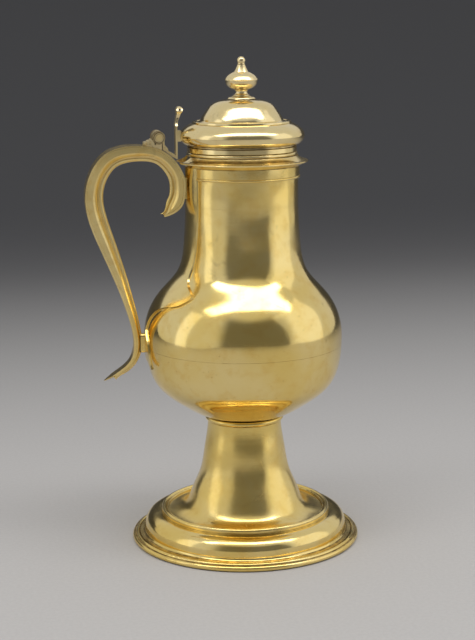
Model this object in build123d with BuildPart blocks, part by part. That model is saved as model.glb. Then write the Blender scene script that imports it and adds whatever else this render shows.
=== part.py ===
"""Lidded flagon: a pear-shaped vessel on a trumpet foot, with a scroll handle and a hinged lid.

Millimetres. +Z is up and the origin is the centre of the face that the foot stands on.
The handle and the hinge are on the -X side, and the hinge pin lies along Y.
Sketches on Plane.XZ hold a radius or an X position first and a height second.
"""
from build123d import *
from math import cos, radians
import os

os.makedirs("parts", exist_ok=True)

# ---------------------------------------------------------------- driving dimensions
# sheet and fits
wall = 1.5                     # the vessel's and the foot's sheet
lid_wall = 1.4
seat_gap = 0.3                 # between the lid and the lip that it rests on
pin_clearance = 0.05           # radial, between the turning knuckle and the pin
knuckle_gap = 0.3              # endways, between neighbouring knuckles
turning_gap = 0.4              # between the lid's strap and what it swings past
side_clearance = 0.1           # between pieces that only lie against each other

# foot
foot_radius = 78.6
rim_bead_height = 3.8
rim_bead_depth = 1.9
rim_edge_width = 0.4
rim_reed_width = 2.6
rim_reed_height = 1.3
rim_shelf_z = 3.2
rim_shelf_width = 2.7
plinth_inset = 8.9             # from the foot's edge in to the side of the step
plinth_top_z = 18.4
plinth_shoulder_width = 9.2
plinth_shoulder_height = 8.9
plinth_fillet = 1.9
bead_ledge = 2.1               # from the edge of the step's top in to the bead
bead_width = 4.9
bead_height = 3.8
bead_step_width = 0.4
spool_lap = 5.4                # how far the pedestal's flange lies on the step
spool_top_radius = 25.2
spool_top_z = 83.3
collar_reach = 1.8
collar_height = 3.6
collar_lap = 5.2

# vessel
bowl_foot_inset = 1.7          # from the pedestal's top in to where the bowl starts
bowl_radius = 67.1
belly_z = 143.0
bowl_seam_drop = 6.0           # from the belly down to the seam between bowl and shoulder
shoulder_height = 53.0         # from that seam up to the seam under the neck
neck_radius = 37.6
neck_length = 39.0             # of its straight part, from the lip down
lip_z = 271.0
lip_height = 6.0
lip_inset = 1.7
lip_cone_height = 3.0          # of the cone that draws the neck in to the lip

# mouldings of the neck
neck_wire_height = 1.7
neck_wire_depth = 1.4
neck_band_height = 6.3
neck_band_thickness = 0.9
flange_height = 4.0            # of its root, from the neck's band up to the lip's cone
flange_reach = 6.8
flange_tip_rise = 2.6
flange_tip_thickness = 0.8
flange_edge = 0.2
flange_gap_width = 20.8
mouth_band_thickness = 0.8
mouth_band_edge = 0.4
mouth_reed_height = 2.4
mouth_reed_depth = 1.4

# lid
lid_overhang = 6.0             # from the lip out to the cushion's widest line
lid_undercut = 4.0             # from that line in to the cushion's lower edge
lid_widest_rise = 7.1          # these rises count from the lid's seat
lid_ledge_rise = 15.3
dome_rise = 30.2
lid_seat_width = 0.5           # beyond the lip, before the underside steps up
lid_step_height = 1.0
lid_ledge_inset = 9.1          # from the widest line in to the ledge
lid_ledge_height = 1.0
dome_inset = 5.0               # from the ledge in to the foot of the dome
lid_seam_width = 1.2           # from the foot of the dome out to the seam between dome and rim
bezel_clearance = 1.1
bezel_thickness = 1.0
bezel_depth = 5.0

# finial
finial_base_radius = 9.5
finial_base_height = 2.2
finial_ring_radius = 5.8
finial_waist_radius = 4.1
finial_knop_radius = 11.2
finial_knop_rise = 10.6        # from the finial's seat up to the knop's rim
finial_cone_radius = 4.9
finial_cone_rise = 15.9
finial_ball_radius = 2.75
finial_height = 26.0
stem_radius = 2.0
washer_radius = 6.0
washer_thickness = 1.5
rivet_radius = 3.2
rivet_height = 1.0

# handle
handle_width = 16.0
handle_tail_width = 8.0
strip_thickness = 1.4
strip_overhang = 0.5
channel_wall = 1.3
rib_share = 0.17               # the rib's radius as a share of the channel's depth
handle_reach = 66.2            # from the upper seat out to the handle's furthest line
tip_depth = 2.4
curl_depth = 9.9
crown_depth = 12.4
lower_depth = 5.8
tail_depth = 4.4
spur_length = 7.0
spur_width = 1.2
upper_seat_drop = 34.0         # from the lip down to the seat's lower end
upper_seat_height = 14.0
upper_seat_width = 11.0
upper_seat_thickness = 0.9
lower_block_drop = 10.0        # from the belly down to the block's lower end
lower_block_height = 13.0
lower_block_width = 6.0
lower_block_thickness = 1.6

# backplate
plate_thickness = 1.0
plate_half_width = 19.3
plate_cusp_half_width = 36.5
plate_cusp_rise = 32.5         # these heights count from the belly
plate_side_rise = 57.5
plate_waist_half_width = 3.6
plate_waist_rise = 6.0
plate_lobe_half_width = 13.2
plate_lobe_drop = 19.5

# hinge
hinge_reach = 16.9             # from the handle's face at the neck out to the pin
hinge_rise = 7.0               # from the lip up to the pin
knuckle_radius = 4.1
knuckle_line_radius = 3.4      # of the turned line in the barrel's ends
knuckle_line_width = 0.5
knuckle_line_depth = 0.5
hinge_width = 18.0
middle_knuckle_width = 8.6
pin_radius = 1.6
pin_head_radius = 2.4
pin_head_height = 0.8
leaf_rise = 0.4                # from the leaf up to the turning knuckle
leaf_drop = 4.8                # from the leaf's top down to its lowest edge
leaf_front_reach = 2.0
leaf_back_reach = 8.2
leaf_width = 15.0
leaf_reed_radius = 1.3
leaf_reeds = 3
strap_thickness = 1.2
strap_width = 8.0
strap_arm_thickness = 2.0
strap_bend_reach = 4.9         # from the handle's face at the neck out to the strap's bend
strap_bend_drop = 7.6          # from the lip down to the strap's bend
strap_standoff = 1.7           # from the lid's widest line out to the strap's riser
strap_lug_height = 7.0
strap_top_rise = 14.0          # from the lip up to the strap's end

# thumbpiece
thumb_width = 10.0
thumb_waist_width = 6.0
thumb_height = 12.8
thumb_root_width = 1.6
thumb_scroll_radius = 2.1
thumb_eye_radius = 0.9
thumb_hole_radius = 0.5

# ---------------------------------------------------------------- worked-out places
rim_reed_outer = foot_radius - rim_bead_depth - rim_edge_width
rim_reed_inner = rim_reed_outer - rim_reed_width
rim_inner_radius = rim_reed_inner - rim_shelf_width
plinth_edge_radius = rim_reed_inner - side_clearance
plinth_side_radius = foot_radius - plinth_inset
plinth_top_radius = plinth_side_radius - plinth_shoulder_width
bead_outer_radius = plinth_top_radius - bead_ledge
bead_inner_radius = bead_outer_radius - bead_width
spool_flange_radius = bead_inner_radius - side_clearance
plinth_hole_radius = spool_flange_radius - spool_lap
collar_radius = spool_top_radius + collar_reach
collar_inner_radius = spool_top_radius - collar_lap
bowl_foot_radius = spool_top_radius - bowl_foot_inset
bowl_bottom_z = spool_top_z + collar_height
bowl_seam_z = belly_z - bowl_seam_drop
neck_seam_z = bowl_seam_z + shoulder_height
neck_base_z = lip_z - neck_length
lip_base_z = lip_z - lip_height
neck_top_z = lip_base_z - lip_cone_height
lip_radius = neck_radius - lip_inset
flange_z = neck_top_z - flange_height
flange_radius = neck_radius + flange_reach
flange_tip_z = flange_z + flange_tip_rise
wire_top_z = flange_z - neck_band_height
neck_wire_z = wire_top_z - neck_wire_height
mouth_inner_radius = lip_radius - wall
bezel_radius = mouth_inner_radius - bezel_clearance
lid_bottom_z = lip_z + seat_gap
lid_radius = lip_radius + lid_overhang
lid_edge_radius = lid_radius - lid_undercut
lid_widest_z = lid_bottom_z + lid_widest_rise
lid_ledge_radius = lid_radius - lid_ledge_inset
lid_ledge_z = lid_bottom_z + lid_ledge_rise
dome_base_radius = lid_ledge_radius - dome_inset
dome_top_z = lid_bottom_z + dome_rise
lid_seam_radius = dome_base_radius + lid_seam_width
finial_base_z = dome_top_z
finial_z = finial_base_z + finial_base_height
finial_top_z = finial_z + finial_height
washer_z = dome_top_z - lid_wall - washer_thickness
stem_end_z = washer_z - rivet_height
stem_hole_radius = stem_radius + side_clearance
plate_radius = neck_radius + plate_thickness
plate_top_z = flange_z
plate_cusp_z = belly_z + plate_cusp_rise
plate_side_z = belly_z + plate_side_rise
plate_waist_z = belly_z + plate_waist_rise
plate_lobe_z = belly_z - plate_lobe_drop
handle_face_x = -(plate_radius + upper_seat_thickness)
lower_face_x = -(bowl_radius + plate_thickness + lower_block_thickness)
upper_seat_z = lip_z - upper_seat_drop
lower_block_z = belly_z - lower_block_drop
hinge_x = handle_face_x - hinge_reach
hinge_z = lip_z + hinge_rise
leaf_z = hinge_z - knuckle_radius - leaf_rise
strap_top_z = lip_z + strap_top_rise
middle_bore_radius = pin_radius + pin_clearance


def inset(edge, amount, steps=12):
    """Points along an edge, each moved square to it and to its left by an amount."""
    points = []
    for step in range(steps + 1):
        ahead = edge.tangent_at(step / steps)
        points.append(edge.position_at(step / steps) + amount * Vector(-ahead.Y, ahead.X))
    return points


def inset_line(edge, amount, steps=12):
    """A line beside an edge, an amount to its left, drawn from its end back to its start."""
    directions = (-edge.tangent_at(1), -edge.tangent_at(0))
    points = inset(edge, amount, steps)[::-1]
    return Spline(*points, tangents=directions, tangent_scalars=(1, 1))


# ---------------------------------------------------------------- foot
with BuildPart() as foot_rim:
    with BuildSketch(Plane.XZ):
        with BuildLine():
            bead_foot = foot_radius - rim_bead_depth
            Line((rim_inner_radius, 0), (bead_foot, 0))
            ThreePointArc(
                (bead_foot, 0), (foot_radius, rim_bead_height / 2), (bead_foot, rim_bead_height)
            )
            Line((bead_foot, rim_bead_height), (rim_reed_outer, rim_bead_height))
            ThreePointArc(
                (rim_reed_outer, rim_bead_height),
                ((rim_reed_outer + rim_reed_inner) / 2, rim_bead_height + rim_reed_height),
                (rim_reed_inner, rim_bead_height),
            )
            Polyline(
                (rim_reed_inner, rim_bead_height),
                (rim_reed_inner, rim_shelf_z),
                (rim_inner_radius, rim_shelf_z),
                (rim_inner_radius, 0),
            )
        make_face()
    revolve(axis=Axis.Z)
foot_rim.part.label = "foot_rim"

with BuildPart() as foot_plinth:
    with BuildSketch(Plane.XZ):
        flange_top_z = rim_shelf_z + wall
        shoulder_z = plinth_top_z - plinth_shoulder_height
        fillet_x = plinth_side_radius + plinth_fillet
        fillet_z = flange_top_z + plinth_fillet
        outer_reach = cos(radians(45)) * plinth_fillet
        inner_reach = cos(radians(45)) * (plinth_fillet + wall)
        with BuildLine():
            Line((plinth_edge_radius, flange_top_z), (fillet_x, flange_top_z))
            ThreePointArc(
                (fillet_x, flange_top_z),
                (fillet_x - outer_reach, fillet_z - outer_reach),
                (plinth_side_radius, fillet_z),
            )
            Line((plinth_side_radius, fillet_z), (plinth_side_radius, shoulder_z))
            plinth_shoulder = Spline(
                (plinth_side_radius, shoulder_z),
                (
                    0.29 * plinth_top_radius + 0.71 * plinth_side_radius,
                    0.29 * shoulder_z + 0.71 * plinth_top_z,
                ),
                (plinth_top_radius, plinth_top_z),
                tangents=((0, 1), (-1, 0)),
                tangent_scalars=(1, 1),
            )
            Polyline(
                (plinth_top_radius, plinth_top_z),
                (plinth_hole_radius, plinth_top_z),
                (plinth_hole_radius, plinth_top_z - wall),
                (plinth_top_radius, plinth_top_z - wall),
            )
            inset_line(plinth_shoulder, wall)
            Line((plinth_side_radius - wall, shoulder_z), (plinth_side_radius - wall, fillet_z))
            ThreePointArc(
                (plinth_side_radius - wall, fillet_z),
                (fillet_x - inner_reach, fillet_z - inner_reach),
                (fillet_x, rim_shelf_z),
            )
            Polyline(
                (fillet_x, rim_shelf_z),
                (plinth_edge_radius, rim_shelf_z),
                (plinth_edge_radius, flange_top_z),
            )
        make_face()
    revolve(axis=Axis.Z)
foot_plinth.part.label = "foot_plinth"

with BuildPart() as foot_spool:
    with BuildSketch(Plane.XZ):
        spool_foot_z = plinth_top_z + wall
        spool_rise = spool_top_z - spool_foot_z
        spool_spread = spool_flange_radius - spool_top_radius
        with BuildLine():
            spool_side = Spline(
                (spool_flange_radius, spool_foot_z),
                (spool_top_radius + 0.663 * spool_spread, spool_foot_z + 0.03 * spool_rise),
                (spool_top_radius + 0.397 * spool_spread, spool_foot_z + 0.23 * spool_rise),
                (spool_top_radius + 0.213 * spool_spread, spool_foot_z + 0.42 * spool_rise),
                (spool_top_radius + 0.089 * spool_spread, spool_foot_z + 0.70 * spool_rise),
                (spool_top_radius, spool_top_z),
                tangents=((-1, 0), (0, 1)),
                tangent_scalars=(1, 1),
            )
            Line((spool_top_radius, spool_top_z), (spool_top_radius - wall, spool_top_z))
            inset_line(spool_side, wall)
            Line((spool_flange_radius, plinth_top_z), (spool_flange_radius, spool_foot_z))
        make_face()
    revolve(axis=Axis.Z)
foot_spool.part.label = "foot_spool"

with BuildPart() as foot_bead:
    with BuildSketch(Plane.XZ):
        with BuildLine():
            crest_edge = bead_outer_radius - bead_step_width
            reed_radius = bead_inner_radius + 0.29 * bead_width
            step_top_z = plinth_top_z + 0.2 * bead_height
            seam_z = plinth_top_z + 0.6 * bead_height
            Polyline(
                (bead_inner_radius, seam_z),
                (bead_inner_radius, plinth_top_z),
                (bead_outer_radius, plinth_top_z),
                (bead_outer_radius, step_top_z),
                (crest_edge, step_top_z),
                (crest_edge, seam_z),
            )
            ThreePointArc(
                (crest_edge, seam_z),
                ((crest_edge + reed_radius) / 2, plinth_top_z + bead_height),
                (reed_radius, seam_z),
            )
            ThreePointArc(
                (reed_radius, seam_z),
                ((reed_radius + bead_inner_radius) / 2, seam_z + 0.17 * bead_height),
                (bead_inner_radius, seam_z),
            )
        make_face()
    revolve(axis=Axis.Z)
foot_bead.part.label = "foot_bead"

with BuildPart() as pedestal_collar:
    with BuildSketch(Plane.XZ):
        with BuildLine():
            collar_edge = collar_radius - collar_reach
            Line((collar_inner_radius, spool_top_z), (collar_edge, spool_top_z))
            ThreePointArc(
                (collar_edge, spool_top_z),
                (collar_radius, (spool_top_z + bowl_bottom_z) / 2),
                (collar_edge, bowl_bottom_z),
            )
            Polyline(
                (collar_edge, bowl_bottom_z),
                (collar_inner_radius, bowl_bottom_z),
                (collar_inner_radius, spool_top_z),
            )
        make_face()
    revolve(axis=Axis.Z)
pedestal_collar.part.label = "pedestal_collar"


# ---------------------------------------------------------------- vessel
belly_rise = belly_z - bowl_bottom_z
bowl_spread = bowl_radius - bowl_foot_radius
shoulder_rise = neck_base_z - belly_z
shoulder_spread = bowl_radius - neck_radius

with BuildLine():
    bowl_edge = Spline(
        (bowl_foot_radius, bowl_bottom_z),
        (bowl_foot_radius + 0.461 * bowl_spread, bowl_bottom_z + 0.165 * belly_rise),
        (bowl_foot_radius + 0.836 * bowl_spread, bowl_bottom_z + 0.41 * belly_rise),
        (bowl_radius, belly_z),
        tangents=((1, 0.12), (0, 1)),
        tangent_scalars=(1, 1),
    )
    shoulder_edge = Spline(
        (bowl_radius, belly_z),
        (neck_radius + 0.678 * shoulder_spread, belly_z + 0.305 * shoulder_rise),
        (neck_radius + 0.190 * shoulder_spread, belly_z + 0.50 * shoulder_rise),
        (neck_radius + 0.041 * shoulder_spread, belly_z + 0.73 * shoulder_rise),
        (neck_radius, neck_base_z),
        tangents=((0, 1), (0, 1)),
        tangent_scalars=(1, 1),
    )

# the whole vessel's shell, from which its three soldered sections are cut
with BuildPart() as vessel_shell:
    with BuildSketch(Plane.XZ):
        bowl_inside = inset(bowl_edge, wall)[0]
        with BuildLine():
            Line((0, bowl_bottom_z), (bowl_foot_radius, bowl_bottom_z))
            add(bowl_edge)
            add(shoulder_edge)
            Polyline(
                (neck_radius, neck_base_z),
                (neck_radius, neck_top_z),
                (lip_radius, lip_base_z),
                (lip_radius, lip_z),
                (lip_radius - wall, lip_z),
                (lip_radius - wall, lip_base_z),
                (neck_radius - wall, neck_top_z),
                (neck_radius - wall, neck_base_z),
            )
            inset_line(shoulder_edge, wall)
            inset_line(bowl_edge, wall)
            Polyline(bowl_inside, (0, bowl_bottom_z + wall), (0, bowl_bottom_z))
        make_face()
    revolve(axis=Axis.Z)

with BuildPart() as bowl:
    add(vessel_shell.part)
    split(bisect_by=Plane.XY.offset(bowl_seam_z), keep=Keep.BOTTOM)
bowl.part.label = "bowl"

with BuildPart() as shoulder:
    add(vessel_shell.part)
    split(bisect_by=Plane.XY.offset(bowl_seam_z), keep=Keep.TOP)
    split(bisect_by=Plane.XY.offset(neck_seam_z), keep=Keep.BOTTOM)
shoulder.part.label = "shoulder"

with BuildPart() as neck:
    add(vessel_shell.part)
    split(bisect_by=Plane.XY.offset(neck_seam_z), keep=Keep.TOP)
neck.part.label = "neck"

# the block that the backplate stands in, which cuts the neck's wire and band at its edges
with BuildPart() as plate_slot:
    with BuildSketch(Plane.XY.offset(neck_wire_z)):
        with Locations((-neck_radius, 0)):
            Rectangle(neck_radius, 2 * plate_half_width)
    extrude(amount=flange_z - neck_wire_z)

with BuildPart() as neck_wire:
    with BuildSketch(Plane.XZ):
        with BuildLine():
            wire_face = neck_radius + neck_wire_depth - neck_wire_height / 2
            Polyline(
                (wire_face, wire_top_z),
                (neck_radius, wire_top_z),
                (neck_radius, neck_wire_z),
                (wire_face, neck_wire_z),
            )
            ThreePointArc(
                (wire_face, neck_wire_z),
                (neck_radius + neck_wire_depth, neck_wire_z + neck_wire_height / 2),
                (wire_face, wire_top_z),
            )
        make_face()
    revolve(axis=Axis.Z)
    add(plate_slot.part, mode=Mode.SUBTRACT)
neck_wire.part.label = "neck_wire"

with BuildPart() as neck_band:
    with BuildSketch(Plane.XY.offset(wire_top_z)):
        Circle(neck_radius + neck_band_thickness)
        Circle(neck_radius, mode=Mode.SUBTRACT)
    extrude(amount=neck_band_height)
    add(plate_slot.part, mode=Mode.SUBTRACT)
neck_band.part.label = "neck_band"

with BuildPart() as drip_flange:
    with BuildSketch(Plane.XZ):
        flange_root = neck_radius + neck_band_thickness
        flange_tip = flange_radius - flange_edge
        flange_spread = flange_tip - flange_root
        tip_top_z = flange_tip_z + flange_tip_thickness
        with BuildLine():
            Polyline(
                (neck_radius, neck_top_z), (neck_radius, flange_z), (flange_root, flange_z)
            )
            ThreePointArc(
                (flange_root, flange_z),
                (flange_root + 0.46 * flange_spread, flange_z + 0.5 * flange_tip_rise),
                (flange_tip, flange_tip_z),
            )
            Polyline(
                (flange_tip, flange_tip_z),
                (flange_radius, (flange_tip_z + tip_top_z) / 2),
                (flange_tip, tip_top_z),
            )
            ThreePointArc(
                (flange_tip, tip_top_z),
                (flange_root + 0.25 * flange_spread, 0.64 * tip_top_z + 0.36 * lip_base_z),
                (lip_radius + mouth_reed_depth, lip_base_z),
            )
            Polyline(
                (lip_radius + mouth_reed_depth, lip_base_z),
                (lip_radius, lip_base_z),
                (neck_radius, neck_top_z),
            )
        make_face()
    revolve(axis=Axis.Z)
    with BuildSketch(Plane.XY.offset(flange_z)):
        with Locations((-flange_radius, 0)):
            Rectangle(flange_radius, flange_gap_width)
    extrude(amount=lip_base_z - flange_z, mode=Mode.SUBTRACT)
drip_flange.part.label = "drip_flange"

with BuildPart() as mouth_band:
    with BuildSketch(Plane.XZ):
        reed_top_z = lip_base_z + mouth_reed_height
        band_radius = lip_radius + mouth_band_thickness
        with BuildLine():
            Line((lip_radius, lip_z), (lip_radius, lip_base_z))
            Line((lip_radius, lip_base_z), (band_radius, lip_base_z))
            ThreePointArc(
                (band_radius, lip_base_z),
                (lip_radius + mouth_reed_depth, lip_base_z + mouth_reed_height / 2),
                (band_radius - mouth_band_edge, reed_top_z),
            )
            Polyline(
                (band_radius - mouth_band_edge, reed_top_z),
                (band_radius, reed_top_z + mouth_band_edge),
                (band_radius, lip_z - mouth_band_edge),
                (band_radius - mouth_band_edge, lip_z),
                (lip_radius, lip_z),
            )
        make_face()
    revolve(axis=Axis.Z)
mouth_band.part.label = "mouth_band"

with BuildPart() as handle_backplate:
    with BuildSketch(Plane.XZ):
        bowl_outside = inset(bowl_edge, -plate_thickness)[0]
        with BuildLine():
            add(bowl_edge)
            add(shoulder_edge)
            Polyline(
                (neck_radius, neck_base_z),
                (neck_radius, plate_top_z),
                (plate_radius, plate_top_z),
                (plate_radius, neck_base_z),
            )
            inset_line(shoulder_edge, -plate_thickness)
            inset_line(bowl_edge, -plate_thickness)
            Line(bowl_outside, (bowl_foot_radius, bowl_bottom_z))
        make_face()
    revolve(axis=Axis.Z)
    with BuildSketch(Plane.YZ.offset(-bowl_radius - plate_thickness)):
        with BuildLine():
            cusp_spread = plate_cusp_half_width - plate_half_width
            cusp_rise = plate_side_z - plate_cusp_z
            scallop_rise = plate_cusp_z - plate_waist_z
            lobe_rise = plate_waist_z - plate_lobe_z
            Polyline((0, plate_top_z), (plate_half_width, plate_top_z))
            Line((plate_half_width, plate_top_z), (plate_half_width, plate_side_z))
            Spline(
                (plate_half_width, plate_side_z),
                (plate_half_width + 0.10 * cusp_spread, plate_cusp_z + 0.40 * cusp_rise),
                (plate_half_width + 0.51 * cusp_spread, plate_cusp_z + 0.19 * cusp_rise),
                (plate_cusp_half_width, plate_cusp_z),
                tangents=((0, -1), (0.75, -0.6)),
                tangent_scalars=(1, 1),
            )
            Spline(
                (plate_cusp_half_width, plate_cusp_z),
                (0.90 * plate_cusp_half_width, plate_cusp_z - 0.20 * scallop_rise),
                (0.66 * plate_cusp_half_width, plate_cusp_z - 0.29 * scallop_rise),
                (0.35 * plate_cusp_half_width, plate_cusp_z - 0.48 * scallop_rise),
                (plate_waist_half_width, plate_waist_z),
                tangents=((-0.2, -1), (-0.15, -1)),
                tangent_scalars=(1, 1),
            )
            Spline(
                (plate_waist_half_width, plate_waist_z),
                (0.82 * plate_lobe_half_width, plate_waist_z - 0.34 * lobe_rise),
                (plate_lobe_half_width, plate_lobe_z),
                tangents=((0.6, -0.8), (0.2, -1)),
                tangent_scalars=(1, 1),
            )
            ThreePointArc(
                (plate_lobe_half_width, plate_lobe_z),
                (0.45 * plate_lobe_half_width, plate_lobe_z + 0.17 * lobe_rise),
                (0, plate_lobe_z + 0.25 * lobe_rise),
            )
            mirror(about=Plane.YZ)
        make_face()
    extrude(amount=bowl_radius + plate_thickness, mode=Mode.INTERSECT)
handle_backplate.part.label = "handle_backplate"


# ---------------------------------------------------------------- handle
# the handle's outer line, from the tip of the curl over the crown to the tail: how far
# each point stands out, as a share of the handle's reach, and its share of the height
# from belly to lip
handle_outline = (
    (0.214, 0.645),
    (0.112, 0.663),
    (0.024, 0.706),
    (0.000, 0.762),
    (0.000, 0.836),
    (0.060, 0.910),
    (0.148, 0.963),
    (0.264, 0.998),
    (0.431, 1.014),
    (0.612, 1.012),
    (0.785, 0.980),
    (0.929, 0.894),
    (1.000, 0.754),
    (0.971, 0.637),
    (0.751, 0.494),
    (0.375, 0.301),
    (0.150, 0.141),
    (0.091, 0.008),
    (0.091, -0.055),
    (0.134, -0.117),
    (0.219, -0.159),
    (0.313, -0.192),
)
# the channel's depth at these shares of the handle's length, eased between them
handle_depths = (
    (0.0, tip_depth),
    (0.055, curl_depth),
    (0.20, curl_depth),
    (0.40, crown_depth),
    (0.55, crown_depth),
    (0.88, lower_depth),
    (1.0, tail_depth),
)
lean_share = 0.07              # of the handle's length, over which its sections lean
tip_lean = 52                  # degrees that the first section leans towards the curl's tip
tip_sections = 4
handle_sections = 26
handle_steps = 78              # points along the lines that run beside the handle's outer line
bed_overrun = 2.0
leaf_bed_depth = 3 * strip_thickness
upper_share = 0.6              # above this share of the height the outline follows the neck's seat
lower_share = 0.2              # below this share it follows the bowl's block

tip_shares = [lean_share * index / tip_sections for index in range(tip_sections)]
long_share = (1 - lean_share) / handle_sections
channel_shares = tip_shares + [
    lean_share + long_share * index for index in range(handle_sections + 1)
]
cavity_shares = channel_shares[tip_sections + 1:-2]


def handle_point(outreach, share):
    """A point of the handle's outer line in the plane of the handle."""
    blend = min(1.0, max(0.0, (share - lower_share) / (upper_share - lower_share)))
    x = lower_face_x + (handle_face_x - lower_face_x) * blend - outreach * handle_reach
    return (x, belly_z + share * (lip_z - belly_z))


def handle_depth(share):
    """The handle's depth at a share of its length."""
    for (low, low_depth), (high, high_depth) in zip(handle_depths, handle_depths[1:]):
        if share <= high:
            step = (share - low) / (high - low)
            ease = step * step * (3 - 2 * step)
            return low_depth + (high_depth - low_depth) * ease
    return tail_depth


def half_width(height):
    """Half of the channel's width at a height: full at the crown, narrower towards the tail."""
    taper = (full_width_z - height) / (full_width_z - tail_z)
    taper = min(1.0, max(0.0, taper))
    return (handle_width + (handle_tail_width - handle_width) * taper) / 2


with BuildLine():
    handle_edge = Spline(*[handle_point(*point) for point in handle_outline])
tail_point = handle_edge.position_at(1.0)
tail_ahead = handle_edge.tangent_at(1.0)
tail_z = tail_point.Y
full_width_z = leaf_z - crown_depth
spur_tip = tail_point + spur_length * tail_ahead


def section_plane(share):
    """A plane across the handle: its X runs along the pin and its Y into the curve."""
    place = handle_edge.position_at(share)
    lean = tip_lean * max(0.0, 1 - share / lean_share)
    ahead = handle_edge.tangent_at(share).rotate(Axis.Z, lean)
    return Plane(origin=(place.X, 0, place.Y), x_dir=(0, 1, 0), z_dir=(ahead.X, 0, ahead.Y))


def channel_section(share):
    """The channel across the handle: flat flanks, round shoulders, and a rib at the bottom."""
    depth = handle_depth(share)
    width = half_width(handle_edge.position_at(share).Y)
    rib = rib_share * depth
    crease = depth - 1.4 * rib
    seam = strip_thickness / 2
    bend = strip_thickness + 0.35 * (depth - strip_thickness)
    shoulder = (0.80 * width, 0.45 * bend + 0.55 * crease)
    with BuildSketch(section_plane(share)) as section:
        with BuildLine():
            Line((-width, seam), (width, seam))
            Line((width, seam), (width, bend))
            ThreePointArc((width, bend), shoulder, (rib, crease))
            ThreePointArc((rib, crease), (0, depth), (-rib, crease))
            ThreePointArc((-rib, crease), (-shoulder[0], shoulder[1]), (-width, bend))
            Line((-width, bend), (-width, seam))
        make_face()
    return section.sketch


def cavity_section(share):
    """The hollow of the channel, which runs out through its open side."""
    depth = handle_depth(share)
    width = half_width(handle_edge.position_at(share).Y) - channel_wall
    crease = (1 - 1.4 * rib_share) * depth - channel_wall
    bend = strip_thickness + 0.35 * (depth - strip_thickness)
    with BuildSketch(section_plane(share)) as section:
        with BuildLine():
            Line((-width, 0), (width, 0))
            Line((width, 0), (width, bend))
            ThreePointArc((width, bend), (0, crease), (-width, bend))
            Line((-width, bend), (-width, 0))
        make_face()
    return section.sketch


def handle_bed(outside, inside):
    """A block round the handle's line, between two distances from it, wider than the handle."""
    outer = inset(handle_edge, outside, handle_steps)
    inner = inset(handle_edge, inside, handle_steps)
    before = -bed_overrun * handle_edge.tangent_at(0)
    beyond = bed_overrun * handle_edge.tangent_at(1)
    with BuildPart() as bed:
        with BuildSketch(Plane.XZ):
            with BuildLine():
                Line(outer[0] + before, outer[0])
                if outside:
                    Spline(*outer)
                else:
                    add(handle_edge)
                Polyline(outer[-1], outer[-1] + beyond, inner[-1] + beyond, inner[-1])
                Spline(*inner[::-1])
                Polyline(inner[0], inner[0] + before, outer[0] + before)
            make_face()
        extrude(amount=handle_width, both=True)
    return bed.part


with BuildPart() as handle_back_strip:
    with BuildSketch(Plane.XZ):
        strip_inside = inset(handle_edge, strip_thickness, handle_steps)[::-1]
        with BuildLine():
            add(handle_edge)
            Line(tail_point, spur_tip)
            Line(spur_tip, spur_tip + 0.4 * (strip_inside[0] - tail_point))
            Line(spur_tip + 0.4 * (strip_inside[0] - tail_point), strip_inside[0])
            Spline(*strip_inside)
            Line(strip_inside[-1], handle_edge.position_at(0))
        make_face()
    extrude(amount=handle_width, both=True)
    with BuildSketch(Plane.YZ):
        with BuildLine():
            Polyline(
                (0, lip_z + hinge_rise),
                (half_width(lip_z) + strip_overhang, lip_z + hinge_rise),
                (half_width(lip_z) + strip_overhang, full_width_z),
                (half_width(tail_z) + strip_overhang, tail_z),
                (spur_width / 2, spur_tip.Y),
                (0, spur_tip.Y),
            )
            mirror(about=Plane.YZ)
        make_face()
    extrude(amount=-2 * bowl_radius, mode=Mode.INTERSECT)
handle_back_strip.part.label = "handle_back_strip"

with BuildPart() as handle_channel:
    for share in channel_shares:
        add(channel_section(share))
    loft()
    with BuildPart(mode=Mode.PRIVATE) as cavity:
        for share in cavity_shares:
            add(cavity_section(share))
        loft()
    add(cavity.part, mode=Mode.SUBTRACT)
    add(handle_bed(-4 * bed_overrun, strip_thickness), mode=Mode.SUBTRACT)
handle_channel.part.label = "handle_channel"

# the room that the handle's seats and the hinge's leaf leave for the handle
handle_room = handle_bed(0, leaf_bed_depth)

with BuildPart() as upper_handle_seat:
    with BuildSketch(Plane.XY.offset(upper_seat_z)):
        seat_outer = handle_face_x - strip_thickness
        seat_inner = -0.9 * plate_radius
        with Locations(((seat_outer + seat_inner) / 2, 0)):
            Rectangle(seat_inner - seat_outer, upper_seat_width)
        Circle(plate_radius, mode=Mode.SUBTRACT)
    extrude(amount=upper_seat_height)
    add(handle_room, mode=Mode.SUBTRACT)
upper_handle_seat.part.label = "upper_handle_seat"

with BuildPart() as lower_handle_block:
    with BuildSketch(Plane.XZ):
        block_outer = lower_face_x - 0.8 * lower_block_thickness
        with Locations(((block_outer - bowl_radius) / 2, lower_block_z + lower_block_height / 2)):
            Rectangle(-bowl_radius - block_outer, lower_block_height)
    extrude(amount=lower_block_width / 2, both=True)
    fillet(lower_handle_block.edges().filter_by(Axis.X), radius=0.3 * lower_block_width)
    add(handle_channel.part, mode=Mode.SUBTRACT)
    add(handle_backplate.part, mode=Mode.SUBTRACT)
lower_handle_block.part.label = "lower_handle_block"


# ---------------------------------------------------------------- hinge
outer_knuckle_start = middle_knuckle_width / 2 + knuckle_gap
outer_knuckle_end = hinge_width / 2

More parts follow.
